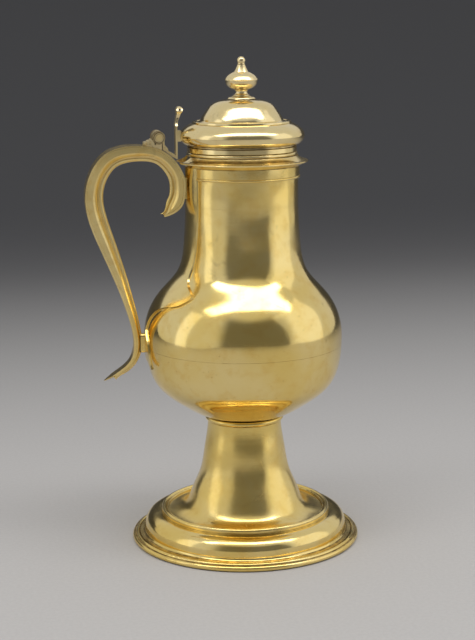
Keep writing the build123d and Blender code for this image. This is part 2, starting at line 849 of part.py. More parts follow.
with BuildPart() as hinge_handle_leaf:
    with BuildSketch(Plane.XZ):
        leaf_middle_x = hinge_x + (leaf_front_reach - leaf_back_reach) / 2
        with Locations((leaf_middle_x, leaf_z - leaf_drop / 2)):
            Rectangle(leaf_front_reach + leaf_back_reach, leaf_drop)
    extrude(amount=leaf_width / 2, both=True)
    # the stepped tail: reeds that fall away from the knuckles
    for step in range(leaf_reeds):
        reed_x = hinge_x - knuckle_radius - step * 1.6 * leaf_reed_radius
        reed_z = leaf_z + leaf_reed_radius * (1.4 - 0.6 * step)
        with BuildSketch(Plane.XZ):
            with Locations((reed_x, reed_z)):
                Circle(leaf_reed_radius)
            with Locations((reed_x, (reed_z + leaf_z) / 2)):
                Rectangle(2 * leaf_reed_radius, reed_z - leaf_z + leaf_reed_radius)
        extrude(amount=leaf_width / 2 - step * leaf_reed_radius, both=True)
    # the outer knuckles, each on its own root
    for start in (outer_knuckle_start, -outer_knuckle_end):
        with BuildSketch(Plane.XZ.offset(-start)):
            with Locations((hinge_x, hinge_z)):
                Circle(knuckle_radius)
            with Locations((hinge_x, (hinge_z + leaf_z) / 2)):
                Rectangle(2 * leaf_front_reach, hinge_z - leaf_z)
        extrude(amount=-(outer_knuckle_end - outer_knuckle_start))
    with BuildSketch(Plane.XZ):
        with Locations((hinge_x, hinge_z)):
            Circle(pin_radius)
    extrude(amount=outer_knuckle_end, both=True, mode=Mode.SUBTRACT)
    # a turned line in each end of the barrel
    for side in (1, -1):
        with BuildSketch(Plane.XZ.offset(side * outer_knuckle_end)):
            with Locations((hinge_x, hinge_z)):
                Circle(knuckle_line_radius + knuckle_line_width / 2)
                Circle(knuckle_line_radius - knuckle_line_width / 2, mode=Mode.SUBTRACT)
        extrude(amount=-side * knuckle_line_depth, mode=Mode.SUBTRACT)
    # room for the middle knuckle, which turns between the outer ones
    with BuildSketch(Plane.XZ):
        with Locations((hinge_x, hinge_z)):
            Circle(knuckle_radius + turning_gap)
    extrude(amount=outer_knuckle_start, both=True, mode=Mode.SUBTRACT)
    add(handle_room, mode=Mode.SUBTRACT)
hinge_handle_leaf.part.label = "hinge_handle_leaf"

with BuildPart() as hinge_pin:
    with BuildSketch(Plane.XZ.offset(-hinge_width / 2)):
        with Locations((hinge_x, hinge_z)):
            Circle(pin_radius)
    extrude(amount=hinge_width)
    for face_y in (-hinge_width / 2 - pin_head_height, hinge_width / 2):
        with BuildSketch(Plane.XZ.offset(-face_y)):
            with Locations((hinge_x, hinge_z)):
                Circle(pin_head_radius)
        extrude(amount=-pin_head_height)
hinge_pin.part.label = "hinge_pin"


# ---------------------------------------------------------------- lid
# the whole lid's sheet, from which its rim and its dome are cut
with BuildPart() as lid_sheet:
    ledge_foot_z = lid_ledge_z - 0.3 * lid_ledge_height
    dome_foot_z = lid_ledge_z + 1.4 * lid_ledge_height
    dome_height = dome_top_z - dome_foot_z
    dome_spread = dome_base_radius - finial_base_radius
    lid_edge_z = lid_bottom_z + lid_step_height
    lid_step_radius = lip_radius + lid_seat_width
    with BuildSketch(Plane.XZ):
        with BuildLine():
            Polyline(
                (bezel_radius, lid_bottom_z),
                (lid_step_radius, lid_bottom_z),
                (lid_step_radius, lid_edge_z),
                (lid_edge_radius, lid_edge_z),
            )
            cushion_edge = Spline(
                (lid_edge_radius, lid_edge_z),
                (lid_radius - 0.37 * lid_undercut, 0.69 * lid_edge_z + 0.31 * lid_widest_z),
                (lid_radius, lid_widest_z),
                (lid_radius - 0.35 * lid_ledge_inset, 0.39 * lid_widest_z + 0.61 * ledge_foot_z),
                (lid_ledge_radius, ledge_foot_z),
                tangents=((1, 0.5), (-1, 0.3)),
                tangent_scalars=(1, 1),
            )
            Line((lid_ledge_radius, ledge_foot_z), (dome_base_radius, dome_foot_z))
            dome_edge = Spline(
                (dome_base_radius, dome_foot_z),
                (dome_base_radius - 0.19 * dome_spread, dome_foot_z + 0.43 * dome_height),
                (dome_base_radius - 0.37 * dome_spread, dome_foot_z + 0.73 * dome_height),
                (dome_base_radius - 0.64 * dome_spread, dome_foot_z + 0.93 * dome_height),
                (finial_base_radius, dome_top_z),
                tangents=((-0.35, 1), (-1, 0)),
                tangent_scalars=(1, 1),
            )
            cushion_inside = inset(cushion_edge, lid_wall)
            dome_inside = inset(dome_edge, lid_wall)
            Polyline(
                (finial_base_radius, dome_top_z),
                (stem_hole_radius, dome_top_z),
                (stem_hole_radius, dome_top_z - lid_wall),
                dome_inside[-1],
            )
            inset_line(dome_edge, lid_wall)
            Line(dome_inside[0], cushion_inside[-1])
            inset_line(cushion_edge, lid_wall)
            Polyline(
                cushion_inside[0], (bezel_radius, lid_bottom_z + lid_wall), (bezel_radius, lid_bottom_z)
            )
        make_face()
    revolve(axis=Axis.Z)
    # the raised ledge round the foot of the dome
    with BuildSketch(Plane.XZ):
        with BuildLine():
            Polyline(
                (lid_ledge_radius, ledge_foot_z - 0.3 * lid_ledge_height),
                (lid_ledge_radius + 0.4 * lid_ledge_height, ledge_foot_z),
                (lid_ledge_radius + 0.2 * lid_ledge_height, lid_ledge_z + 0.7 * lid_ledge_height),
                (lid_ledge_radius - 0.5 * lid_ledge_height, lid_ledge_z + lid_ledge_height),
                (lid_ledge_radius - 1.8 * lid_ledge_height, lid_ledge_z + lid_ledge_height),
                (lid_ledge_radius - 3.0 * lid_ledge_height, ledge_foot_z + 0.2 * lid_ledge_height),
                close=True,
            )
        make_face()
    revolve(axis=Axis.Z)

with BuildPart() as lid_rim:
    add(lid_sheet.part)
    with BuildSketch(Plane.XY.offset(lid_bottom_z)):
        Circle(lid_seam_radius)
    extrude(amount=dome_rise, mode=Mode.SUBTRACT)
lid_rim.part.label = "lid_rim"

with BuildPart() as lid_dome:
    add(lid_sheet.part)
    with BuildSketch(Plane.XY.offset(lid_bottom_z)):
        Circle(lid_seam_radius)
    extrude(amount=dome_rise, mode=Mode.INTERSECT)
lid_dome.part.label = "lid_dome"

with BuildPart() as lid_bezel:
    with BuildSketch(Plane.XY.offset(lid_bottom_z - bezel_depth)):
        Circle(bezel_radius)
        Circle(bezel_radius - bezel_thickness, mode=Mode.SUBTRACT)
    extrude(amount=bezel_depth + lid_wall)
    chamfer(lid_bezel.edges().group_by(Axis.Z)[0], length=0.3 * bezel_thickness)
lid_bezel.part.label = "lid_bezel"

riser_x = -(lid_radius + strap_standoff)
with BuildPart() as hinge_lid_strap:
    bend_x = handle_face_x - strap_bend_reach
    bend_z = lip_z - strap_bend_drop
    root = (hinge_x + 0.72 * knuckle_radius, hinge_z - 0.66 * knuckle_radius)
    root_top = (hinge_x + 0.98 * knuckle_radius, hinge_z - 0.2 * knuckle_radius)
    with BuildSketch(Plane.XZ):
        with BuildLine():
            Polyline(
                root,
                (hinge_x + 0.72 * knuckle_radius, hinge_z - 2.3 * knuckle_radius),
                (bend_x, bend_z),
                (riser_x, bend_z),
                (riser_x, strap_top_z),
                (riser_x - strap_thickness, strap_top_z),
                (riser_x - strap_thickness, bend_z + 1.3 * strap_arm_thickness),
                (hinge_x + 1.60 * knuckle_radius, bend_z + 2.75 * strap_arm_thickness),
                (hinge_x + 1.55 * knuckle_radius, hinge_z - 1.85 * knuckle_radius),
                (hinge_x + 1.02 * knuckle_radius, hinge_z - 1.2 * knuckle_radius),
                root_top,
                close=True,
            )
        make_face()
        # the lug that the riser is soldered to the lid by
        with Locations((riser_x, lid_widest_z)):
            lug_reach = strap_standoff + lid_wall / 2
            Rectangle(lug_reach, strap_lug_height, align=(Align.MIN, Align.CENTER))
    extrude(amount=strap_width / 2, both=True)
    # room for the outer knuckles, which the middle knuckle then stands between
    with BuildSketch(Plane.XZ.offset(-strap_width / 2)):
        with Locations((hinge_x, hinge_z)):
            Circle(knuckle_radius + turning_gap)
    extrude(amount=strap_width, mode=Mode.SUBTRACT)
    with BuildSketch(Plane.XZ):
        with Locations((hinge_x, hinge_z)):
            Circle(knuckle_radius)
        with BuildLine():
            Polyline(
                (hinge_x, hinge_z),
                root,
                (hinge_x + 0.72 * knuckle_radius, hinge_z - 1.6 * knuckle_radius),
                (hinge_x + 1.25 * knuckle_radius, hinge_z - 1.6 * knuckle_radius),
                (hinge_x + 1.02 * knuckle_radius, hinge_z - 1.2 * knuckle_radius),
                root_top,
                close=True,
            )
        make_face()
    extrude(amount=middle_knuckle_width / 2, both=True)
    with BuildSketch(Plane.XZ.offset(-hinge_width / 2)):
        with Locations((hinge_x, hinge_z)):
            Circle(middle_bore_radius)
    extrude(amount=hinge_width, mode=Mode.SUBTRACT)
    add(handle_bed(-turning_gap, leaf_bed_depth), mode=Mode.SUBTRACT)
    add(lid_sheet.part, mode=Mode.SUBTRACT)
hinge_lid_strap.part.label = "hinge_lid_strap"

with BuildPart() as thumbpiece:
    thumb_x = riser_x - strap_thickness / 2
    scroll_x = thumb_x + 1.1 * thumb_scroll_radius
    scroll_z = strap_top_z + thumb_height - thumb_scroll_radius
    scroll_reach = cos(radians(45)) * thumb_scroll_radius
    with BuildSketch(Plane.XZ):
        with BuildLine():
            Line(
                (thumb_x + thumb_root_width / 2, strap_top_z),
                (thumb_x - thumb_root_width / 2, strap_top_z),
            )
            Spline(
                (thumb_x - thumb_root_width / 2, strap_top_z),
                (thumb_x - 0.1 * thumb_scroll_radius, strap_top_z + 0.35 * thumb_height),
                (thumb_x + 0.16 * thumb_scroll_radius, strap_top_z + 0.65 * thumb_height),
                (scroll_x - thumb_scroll_radius, scroll_z),
                tangents=((0, 1), (0, 1)),
                tangent_scalars=(1, 1),
            )
            ThreePointArc(
                (scroll_x - thumb_scroll_radius, scroll_z),
                (scroll_x, scroll_z + thumb_scroll_radius),
                (scroll_x + scroll_reach, scroll_z - scroll_reach),
            )
            Spline(
                (scroll_x + scroll_reach, scroll_z - scroll_reach),
                (thumb_x + 1.24 * thumb_scroll_radius, strap_top_z + 0.53 * thumb_height),
                (thumb_x + 0.80 * thumb_scroll_radius, strap_top_z + 0.35 * thumb_height),
                (thumb_x + thumb_root_width / 2, strap_top_z),
                tangents=((-1, -1), (0, -1)),
                tangent_scalars=(1, 1),
            )
        make_face()
    extrude(amount=thumb_width / 2, both=True)
    with BuildSketch(Plane.YZ.offset(thumb_x - thumb_scroll_radius)):
        with BuildLine():
            Line((-0.5 * thumb_width, strap_top_z), (0.5 * thumb_width, strap_top_z))
            ThreePointArc(
                (0.5 * thumb_width, strap_top_z),
                (0.5 * thumb_waist_width, strap_top_z + 0.33 * thumb_height),
                (0.5 * thumb_width, strap_top_z + 0.74 * thumb_height),
            )
            ThreePointArc(
                (0.5 * thumb_width, strap_top_z + 0.74 * thumb_height),
                (0, strap_top_z + 1.02 * thumb_height),
                (-0.5 * thumb_width, strap_top_z + 0.74 * thumb_height),
            )
            ThreePointArc(
                (-0.5 * thumb_width, strap_top_z + 0.74 * thumb_height),
                (-0.5 * thumb_waist_width, strap_top_z + 0.33 * thumb_height),
                (-0.5 * thumb_width, strap_top_z),
            )
        make_face()
    extrude(amount=4 * thumb_scroll_radius, mode=Mode.INTERSECT)
    with BuildSketch(Plane.XZ.offset(-thumb_width / 2)):
        with Locations((scroll_x, scroll_z)):
            Circle(thumb_eye_radius)
        with Locations(
            (thumb_x + 0.43 * thumb_scroll_radius, strap_top_z + 0.39 * thumb_height),
            (thumb_x + 0.16 * thumb_scroll_radius, strap_top_z + 0.20 * thumb_height),
        ):
            Circle(thumb_hole_radius)
    extrude(amount=thumb_width, mode=Mode.SUBTRACT)
thumbpiece.part.label = "thumbpiece"


# ---------------------------------------------------------------- finial
with BuildPart() as finial_base:
    with BuildSketch(Plane.XZ):
        with BuildLine():
            base_step_radius = finial_ring_radius + 0.3 * (finial_base_radius - finial_ring_radius)
            base_step_z = finial_base_z + 0.75 * finial_base_height
            base_edge_z = finial_base_z + 0.25 * finial_base_height
            Polyline(
                (stem_hole_radius, finial_z),
                (stem_hole_radius, finial_base_z),
                (0.9 * finial_base_radius, finial_base_z),
                (finial_base_radius, base_edge_z),
            )
            ThreePointArc(
                (finial_base_radius, base_edge_z),
                (
                    0.78 * finial_base_radius + 0.22 * base_step_radius,
                    0.3 * base_edge_z + 0.7 * base_step_z,
                ),
                (base_step_radius, base_step_z),
            )
            Polyline(
                (base_step_radius, base_step_z),
                (base_step_radius, finial_z - 0.08 * finial_base_height),
                (0.95 * base_step_radius, finial_z),
                (stem_hole_radius, finial_z),
            )
        make_face()
    revolve(axis=Axis.Z)
finial_base.part.label = "finial_base"

with BuildPart() as finial:
    ball_z = finial_top_z - finial_ball_radius
    ball_start = -35               # degrees from level, where the ball meets its stalk
    knop_z = finial_z + finial_knop_rise
    waist_rise = 0.41 * finial_knop_rise
    lip_width = 0.03 * finial_knop_radius
    under_z = finial_z + waist_rise
    under_rise = knop_z - under_z
    under_radius = 1.15 * finial_waist_radius
    under_spread = finial_knop_radius - lip_width - under_radius
    cone_z = finial_z + finial_cone_rise
    top_rise = cone_z - knop_z
    top_spread = finial_knop_radius - finial_cone_radius
    with BuildSketch(Plane.XZ):
        with BuildLine():
            Polyline(
                (0, stem_end_z),
                (rivet_radius, stem_end_z),
                (rivet_radius, washer_z),
                (stem_radius, washer_z),
                (stem_radius, finial_z),
                (0.93 * finial_ring_radius, finial_z),
            )
            ThreePointArc(
                (0.93 * finial_ring_radius, finial_z),
                (finial_ring_radius, finial_z + 0.1 * waist_rise),
                (0.92 * finial_ring_radius, finial_z + 0.2 * waist_rise),
            )
            ThreePointArc(
                (0.92 * finial_ring_radius, finial_z + 0.2 * waist_rise),
                (finial_waist_radius, finial_z + 0.52 * waist_rise),
                (under_radius, under_z),
            )
            Spline(
                (under_radius, under_z),
                (under_radius + 0.66 * under_spread, under_z + 0.31 * under_rise),
                (under_radius + 0.93 * under_spread, under_z + 0.67 * under_rise),
                (under_radius + under_spread, knop_z - lip_width),
                tangents=((1, 0.25), (0.1, 1)),
                tangent_scalars=(1, 1),
            )
            Polyline(
                (under_radius + under_spread, knop_z - lip_width),
                (finial_knop_radius, knop_z),
                (finial_knop_radius, knop_z + lip_width),
            )
            ball_arc = CenterArc((0, ball_z), finial_ball_radius, ball_start, 90 - ball_start)
            Spline(
                (finial_knop_radius, knop_z + lip_width),
                (finial_knop_radius - 0.24 * top_spread, knop_z + 0.47 * top_rise),
                (finial_knop_radius - 0.62 * top_spread, knop_z + 0.80 * top_rise),
                (finial_cone_radius, cone_z),
                tangents=((-0.6, 1), (-1, 0.25)),
                tangent_scalars=(1, 1),
            )
            Spline(
                (finial_cone_radius, cone_z),
                (0.73 * finial_cone_radius, 0.58 * cone_z + 0.42 * ball_arc.position_at(0).Y),
                ball_arc.position_at(0),
                tangents=((-0.6, 1), (-0.3, 1)),
                tangent_scalars=(1, 1),
            )
            Line(ball_arc.position_at(1), (0, stem_end_z))
        make_face()
    revolve(axis=Axis.Z)
finial.part.label = "finial"

with BuildPart() as finial_washer:
    with BuildSketch(Plane.XY.offset(washer_z)):
        Circle(washer_radius)
        Circle(stem_hole_radius, mode=Mode.SUBTRACT)
    extrude(amount=washer_thickness)
finial_washer.part.label = "finial_washer"


# ---------------------------------------------------------------- files
export_step(foot_rim.part, "parts/foot_rim.step")
export_step(foot_plinth.part, "parts/foot_plinth.step")
export_step(foot_bead.part, "parts/foot_bead.step")
export_step(foot_spool.part, "parts/foot_spool.step")
export_step(pedestal_collar.part, "parts/pedestal_collar.step")
export_step(bowl.part, "parts/bowl.step")
export_step(shoulder.part, "parts/shoulder.step")
export_step(neck.part, "parts/neck.step")
export_step(neck_wire.part, "parts/neck_wire.step")
export_step(neck_band.part, "parts/neck_band.step")
export_step(drip_flange.part, "parts/drip_flange.step")
export_step(mouth_band.part, "parts/mouth_band.step")
export_step(handle_backplate.part, "parts/handle_backplate.step")
export_step(upper_handle_seat.part, "parts/upper_handle_seat.step")
export_step(lower_handle_block.part, "parts/lower_handle_block.step")
export_step(handle_channel.part, "parts/handle_channel.step")
export_step(handle_back_strip.part, "parts/handle_back_strip.step")
export_step(hinge_handle_leaf.part, "parts/hinge_handle_leaf.step")
export_step(hinge_pin.part, "parts/hinge_pin.step")
export_step(lid_rim.part, "parts/lid_rim.step")
export_step(lid_dome.part, "parts/lid_dome.step")
export_step(lid_bezel.part, "parts/lid_bezel.step")
export_step(hinge_lid_strap.part, "parts/hinge_lid_strap.step")
export_step(thumbpiece.part, "parts/thumbpiece.step")
export_step(finial_base.part, "parts/finial_base.step")
export_step(finial.part, "parts/finial.step")
export_step(finial_washer.part, "parts/finial_washer.step")
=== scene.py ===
"""Looks of the lidded flagon: worn, polished golden metal on a plain studio sweep."""

import math

import bpy
from mathutils import Matrix, Vector

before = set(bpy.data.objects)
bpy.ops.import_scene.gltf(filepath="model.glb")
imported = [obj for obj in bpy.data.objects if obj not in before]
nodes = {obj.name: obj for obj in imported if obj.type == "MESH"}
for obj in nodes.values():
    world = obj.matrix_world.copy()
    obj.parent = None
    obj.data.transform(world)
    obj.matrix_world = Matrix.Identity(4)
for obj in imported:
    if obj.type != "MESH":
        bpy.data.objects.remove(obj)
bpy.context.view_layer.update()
scene = bpy.context.scene


# ---------------------------------------------------------------- node helpers
class Graph:
    """A short way to write the node tree of a material or of the world."""

    def __init__(self, owner, output="ShaderNodeOutputMaterial"):
        owner.use_nodes = True
        self.tree = owner.node_tree
        self.tree.nodes.clear()
        self.output = self.tree.nodes.new(output)
        self.spot = 0

    def node(self, kind, **settings):
        made = self.tree.nodes.new(kind)
        self.spot += 1
        made.location = (-200 * (self.spot % 9), -180 * (self.spot // 9))
        for key, value in settings.items():
            setattr(made, key, value)
        return made

    def put(self, socket, value):
        if isinstance(value, bpy.types.NodeSocket):
            self.tree.links.new(value, socket)
        else:
            socket.default_value = value

    def math(self, operation, first, second=0.0):
        made = self.node("ShaderNodeMath", operation=operation)
        self.put(made.inputs[0], first)
        self.put(made.inputs[1], second)
        return made.outputs[0]

    def add(self, first, second):
        return self.math("ADD", first, second)

    def subtract(self, first, second):
        return self.math("SUBTRACT", first, second)

    def times(self, first, second):
        return self.math("MULTIPLY", first, second)

    def length(self, first, second):
        """The length of a vector of two parts."""
        return self.math("SQRT", self.add(self.times(first, first), self.times(second, second)))

    def parts(self, vector):
        """The X, Y and Z of a vector."""
        made = self.node("ShaderNodeSeparateXYZ")
        self.put(made.inputs[0], vector)
        return made.outputs

    def noise(self, vector, scale, detail=2.0, rough=0.5, distortion=0.0):
        made = self.node("ShaderNodeTexNoise")
        self.put(made.inputs["Vector"], vector)
        made.inputs["Scale"].default_value = scale
        made.inputs["Detail"].default_value = detail
        made.inputs["Roughness"].default_value = rough
        made.inputs["Distortion"].default_value = distortion
        return made.outputs["Fac"]

    def spots(self, vector, scale, reach):
        """1 in the middle of scattered spots and 0 outside them."""
        made = self.node("ShaderNodeTexVoronoi")
        self.put(made.inputs["Vector"], vector)
        made.inputs["Scale"].default_value = scale
        return self.span(made.outputs["Distance"], reach, 0.0)

    def band(self, value, middle, half_width):
        """1 where a value lies near a middle one and 0 past a half width from it."""
        away = self.math("ABSOLUTE", self.subtract(value, middle))
        return self.span(away, half_width, 0.25 * half_width)

    def span(self, value, low, high, to_low=0.0, to_high=1.0):
        made = self.node("ShaderNodeMapRange", interpolation_type="SMOOTHSTEP")
        for socket, item in zip(made.inputs, (value, low, high, to_low, to_high)):
            self.put(socket, item)
        return made.outputs[0]

    def mix(self, factor, first, second):
        made = self.node("ShaderNodeMix", data_type="RGBA")
        self.put(made.inputs[0], factor)
        self.put(made.inputs[6], first)
        self.put(made.inputs[7], second)
        return made.outputs[2]

    def vector(self, x, y, z):
        made = self.node("ShaderNodeCombineXYZ")
        for socket, value in zip(made.inputs, (x, y, z)):
            self.put(socket, value)
        return made.outputs[0]

    def bump(self, height, distance, normal=None):
        made = self.node("ShaderNodeBump")
        made.inputs["Strength"].default_value = 1.0
        made.inputs["Distance"].default_value = distance
        self.put(made.inputs["Height"], height)
        if normal is not None:
            self.put(made.inputs["Normal"], normal)
        return made.outputs[0]


# ---------------------------------------------------------------- metal
GOLD = (0.90, 0.665, 0.21, 1.0)
PALE_GOLD = (0.94, 0.75, 0.33, 1.0)
WARM_GOLD = (0.80, 0.50, 0.10, 1.0)
CHAMPAGNE = (0.94, 0.84, 0.60, 1.0)
# dark tarnish colour, used for real stains and pits and also as painted shade in grooves and
# where faces meet
TARNISH_AND_SHADE = (0.13, 0.07, 0.02, 1.0)
HINGE_X = -0.0564              # where the pin runs, in metres
HINGE_Z = 0.2780
WARM_SHARE = 0.35              # of the warmer gold where its clouds are thickest
NOOK_REACH = 0.0016            # how near two faces meet where painted shade and crevice dirt darken the metal, in metres
NOOK_DIRT_AND_SHADE = 0.85               # share of tarnish and painted shade there

# what each thing adds to the roughness where it is strongest
CLOUD_ROUGH = 0.10
LINE_ROUGH = 0.10
HAIR_ROUGH = 0.16
STAIN_ROUGH = 0.35
GRIME_AND_SHADE_ROUGH = 0.30

# the relief of the marks: its unit in metres, and each mark's share of it
MARK_DEPTH = 0.00004
LINE_RISE = 0.30
HAIR_DROP = 0.55
PIT_DROP = 1.2

# how fine the turning lines are, in noise cells per metre, or per radian round the axis
TURNED_ROUND = 0.9
TURNED_ACROSS = 620.0
HANDLE_ALONG = 40.0
HANDLE_ACROSS = 900.0


def turning_lines(g, x, y, z, round_axis):
    """Fine lines: rings round the upright axis, or lines along the handle."""
    if round_axis:
        around = g.times(g.math("ARCTAN2", y, x), TURNED_ROUND)
        outward = g.times(g.length(x, y), TURNED_ACROSS)
        way = g.vector(around, outward, g.times(z, TURNED_ACROSS))
    else:
        way = g.vector(
            g.times(x, HANDLE_ALONG), g.times(y, HANDLE_ACROSS), g.times(z, HANDLE_ALONG)
        )
    return g.noise(way, scale=1.0, detail=4.0, rough=0.7)


def hairlines(g, x, y, z):
    """Hairline scratches in two slanting directions. Each line below is one leaning axis, in
    noise cells per metre: few along the scratches and very many across them."""
    slanted = g.vector(
        g.times(g.add(x, g.times(z, 0.35)), 900.0),
        g.times(y, 60.0),
        g.times(g.subtract(z, g.times(x, 0.35)), 34.0),
    )
    crossed = g.vector(
        g.times(g.subtract(x, g.times(z, 0.8)), 30.0),
        g.times(y, 50.0),
        g.times(g.add(z, g.times(x, 0.5)), 1000.0),
    )
    first = g.span(g.noise(slanted, scale=1.0), 0.70, 0.79)
    second = g.span(g.noise(crossed, scale=1.0), 0.72, 0.80)
    return g.math("MAXIMUM", first, second)


def metal(name, rough=0.17, wave=0.0020, lines=0.35, pits=0.5, scratches=0.5, stain=0.35,
          pale=0.0, grooves=(), rings=(), round_axis=True):
    """Golden metal, lengths in metres. Grooves are (height, half width) bands darkened with dirt
    and painted shade, and rings are such bands round the hinge's pin. The other values are
    strengths, from none at 0, and wave is the distance of the bump of the sheet's slow waves."""
    material = bpy.data.materials.new(name + "_metal")
    g = Graph(material)
    place = g.node("ShaderNodeTexCoord").outputs["Object"]
    x, y, z = g.parts(place)

    # colour: the metal is warmer and cooler in soft clouds, with small dull stains
    cloud = g.noise(place, scale=17.0, detail=3.0, rough=0.55, distortion=0.4)
    fine_cloud = g.noise(place, scale=120.0, detail=4.0, rough=0.6)
    warmth = g.times(g.span(fine_cloud, 0.44, 0.74), WARM_SHARE)
    colour = g.mix(g.span(cloud, 0.36, 0.66), GOLD, PALE_GOLD)
    colour = g.mix(warmth, colour, WARM_GOLD)
    if pale:
        colour = g.mix(pale, colour, CHAMPAGNE)
    blot = g.noise(place, scale=46.0, detail=5.0, rough=0.66, distortion=0.8)
    blot = g.times(g.span(blot, 0.60, 0.78), stain)
    colour = g.mix(blot, colour, TARNISH_AND_SHADE)
    speck = g.spots(place, scale=300.0, reach=0.13)
    speck = g.times(speck, g.span(g.noise(place, scale=60.0), 0.50, 0.62))
    colour = g.mix(g.times(speck, pits), colour, TARNISH_AND_SHADE)

    # dirt and painted shade in the grooves, broken up along them, and painted shade with dirt
    # where two faces meet closely
    pin_reach = g.length(g.subtract(x, HINGE_X), g.subtract(z, HINGE_Z)) if rings else None
    bands = [g.band(z, height, half_width) for height, half_width in grooves]
    bands += [g.band(pin_reach, radius, half_width) for radius, half_width in rings]
    grime_and_shade = None
    for band in bands:
        grime_and_shade = band if grime_and_shade is None else g.math("MAXIMUM", grime_and_shade, band)
    if grime_and_shade is not None:
        broken = g.noise(place, scale=220.0, detail=3.0)
        broken = g.span(broken, 0.34, 0.62, to_low=0.45, to_high=0.9)
        grime_and_shade = g.times(grime_and_shade, broken)
        colour = g.mix(grime_and_shade, colour, TARNISH_AND_SHADE)
    # ambient occlusion paints shade where faces meet closely, together with crevice dirt
    nook = g.node("ShaderNodeAmbientOcclusion", samples=6)
    nook.inputs["Distance"].default_value = NOOK_REACH
    nook_dirt_and_shade = g.times(g.span(nook.outputs["AO"], 0.62, 0.12), NOOK_DIRT_AND_SHADE)
    colour = g.mix(nook_dirt_and_shade, colour, TARNISH_AND_SHADE)

    line_marks = turning_lines(g, x, y, z, round_axis)
    hair = g.times(hairlines(g, x, y, z), scratches)

    # the cloud's middle leaves the roughness as it is given
    roughness = g.add(rough - 0.5 * CLOUD_ROUGH, g.times(fine_cloud, CLOUD_ROUGH))
    roughness = g.add(roughness, g.times(line_marks, LINE_ROUGH * lines))
    roughness = g.add(roughness, g.times(hair, HAIR_ROUGH))
    roughness = g.add(roughness, g.times(blot, STAIN_ROUGH))
    if grime_and_shade is not None:
        roughness = g.add(roughness, g.times(grime_and_shade, GRIME_AND_SHADE_ROUGH))

    # relief: the sheet's slow waves first, then the marks
    normal = g.bump(g.noise(place, scale=26.0, detail=1.0, rough=0.4), wave)
    marks = g.times(line_marks, LINE_RISE * lines)
    marks = g.subtract(marks, g.times(hair, HAIR_DROP))
    marks = g.subtract(marks, g.times(speck, PIT_DROP * pits))
    normal = g.bump(marks, MARK_DEPTH, normal)

    shader = g.node("ShaderNodeBsdfPrincipled")
    g.put(shader.inputs["Base Color"], colour)
    shader.inputs["Metallic"].default_value = 1.0
    g.put(shader.inputs["Roughness"], roughness)
    g.put(shader.inputs["Normal"], normal)
    g.put(g.output.inputs["Surface"], shader.outputs[0])
    return material


def mm(*pairs):
    """Heights or radii with their half widths, from millimetres to metres."""
    return tuple((middle / 1000.0, half / 1000.0) for middle, half in pairs)


# lines darkened with dirt and painted shade, as (height, half width) in millimetres
RIM_LINE = (3.8, 0.25)
STEP_FOOT = (4.9, 0.35)
BEAD_FOOT = (18.9, 0.3)
BEAD_LINE = (20.7, 0.15)
SPOOL_TOP = (83.1, 0.3)
COLLAR_FOOT = (83.4, 0.3)
COLLAR_TOP = (86.8, 0.3)
BOWL_FOOT = (87.1, 0.4)
BOWL_SEAM = (137.0, 0.12)
BAND_TOP = (257.9, 0.3)
FLANGE_TOP = (264.9, 0.3)
MOUTH_FOOT = (265.1, 0.2)
MOUTH_LINE = (267.5, 0.3)
MOUTH_TOP = (270.9, 0.2)
# painted shadow along the lid's lower edge, where it sits over the mouth
LID_FOOT = (272.2, 1.1)
FINIAL_SEAT = (301.6, 0.2)
FINIAL_RING = (304.6, 0.25)
BALL_FOOT = (324.6, 0.3)
# and as (radius, half width) round the pin
# painted shade rings in the hinge barrel's grooves
BARREL_LINE = (3.4, 0.5)
BARREL_EDGE = (4.15, 0.3)
PIN_EDGE = (2.45, 0.3)

BELLY = {"rough": 0.12, "wave": 0.0022, "lines": 0.25, "pits": 0.9, "scratches": 0.8}
LID = {"rough": 0.14, "wave": 0.0016, "lines": 0.3, "pits": 0.7}
PAD = {"rough": 0.25, "stain": 0.8, "round_axis": False}

